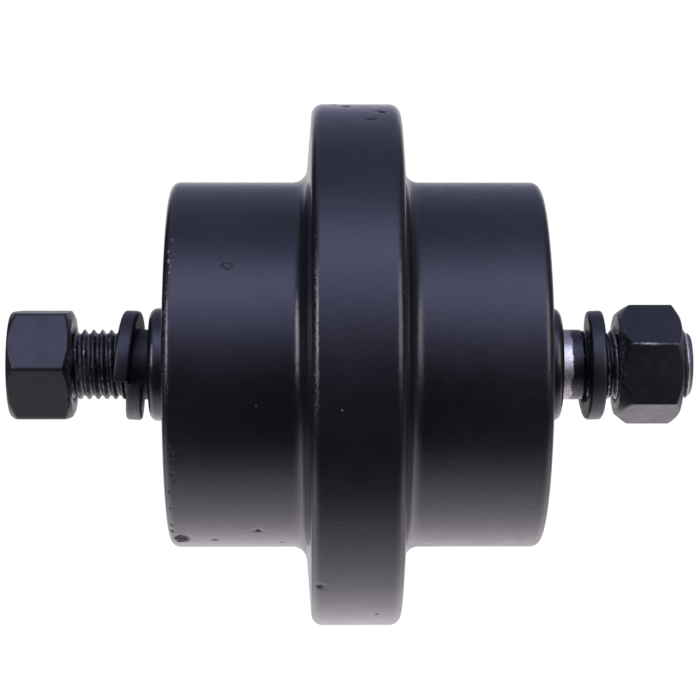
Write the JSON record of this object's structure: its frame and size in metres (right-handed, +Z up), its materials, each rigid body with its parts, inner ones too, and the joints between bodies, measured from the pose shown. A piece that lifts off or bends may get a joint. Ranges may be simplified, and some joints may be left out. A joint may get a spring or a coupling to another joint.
{
  "type": "track roller",
  "caption": "Flanged track roller on a fixed shaft with threaded stub ends, each with a hexagon nut and a split spring washer.",
  "frame": {"origin": "on the spin axis, in the middle of the central flange", "axes": "+Y along the spin axis towards the right end, the one with the bare steel band and the exposed shaft tip; +Z up; +X completes a right-handed frame"},
  "size_m": [0.118, 0.1543, 0.118],
  "materials": {
    "black_paint": "satin black paint over forged steel, faint orange peel, small chips along the edges",
    "shaft_steel": "oiled, partly painted steel with a bare turned band beside the right collar",
    "nut_black": "blackened and painted steel, worn bright on the corners",
    "washer_black": "blackened spring steel",
    "bush_bronze": "turned bearing bronze, oiled",
    "bare_steel": "plain ground steel",
    "seal_iron": "hard alloy iron, lapped on the seal face",
    "seal_rubber": "black nitrile rubber",
    "zinc_plate": "zinc-plated steel"
  },
  "bodies": {
    "shaft_group": {"shaft": "shaft_steel", "left_end_collar": "black_paint", "right_end_collar": "black_paint", "left_collar_pin": "bare_steel", "right_collar_pin": "bare_steel", "left_collar_o_ring": "seal_rubber", "right_collar_o_ring": "seal_rubber", "left_seal_ring_fixed": "seal_iron", "right_seal_ring_fixed": "seal_iron", "left_seal_rubber_fixed": "seal_rubber", "right_seal_rubber_fixed": "seal_rubber", "oil_filler_plug": "zinc_plate"},
    "roller": {"roller_shell": "black_paint", "left_bush": "bush_bronze", "right_bush": "bush_bronze", "left_seal_ring_rotating": "seal_iron", "right_seal_ring_rotating": "seal_iron", "left_seal_rubber_rotating": "seal_rubber", "right_seal_rubber_rotating": "seal_rubber"},
    "left_washer": {"left_spring_washer": "washer_black"},
    "right_washer": {"right_spring_washer": "washer_black"},
    "left_nut": {"left_nut": "nut_black"},
    "right_nut": {"right_nut": "nut_black"}
  },
  "joints": [
    {"name": "roller_spin", "type": "hinge", "parent": "shaft_group", "child": "roller", "pos_m": [0, 0, 0], "axis": [0, 1, 0], "continuous": true},
    {"name": "left_washer_slide", "type": "slide", "parent": "shaft_group", "child": "left_washer", "axis": [0, -1, 0], "range_m": [-0.00051, 0.01001]},
    {"name": "left_nut_turn", "type": "hinge", "parent": "left_washer", "child": "left_nut", "pos_m": [0, -0.071, 0], "axis": [0, -1, 0], "range_deg": [-90, 1800]},
    {"name": "right_washer_slide", "type": "slide", "parent": "shaft_group", "child": "right_washer", "axis": [0, 1, 0], "range_m": [-0.00401, 0.01401]},
    {"name": "right_nut_turn", "type": "hinge", "parent": "right_washer", "child": "right_nut", "pos_m": [0, 0.0664, 0], "axis": [0, 1, 0], "range_deg": [-720, 2520]}
  ],
  "couplings": [
    {"joint": "left_washer_slide", "follows": "left_nut_turn", "m_per_rad": 0.00031831},
    {"joint": "right_washer_slide", "follows": "right_nut_turn", "m_per_rad": 0.00031831}
  ]
}
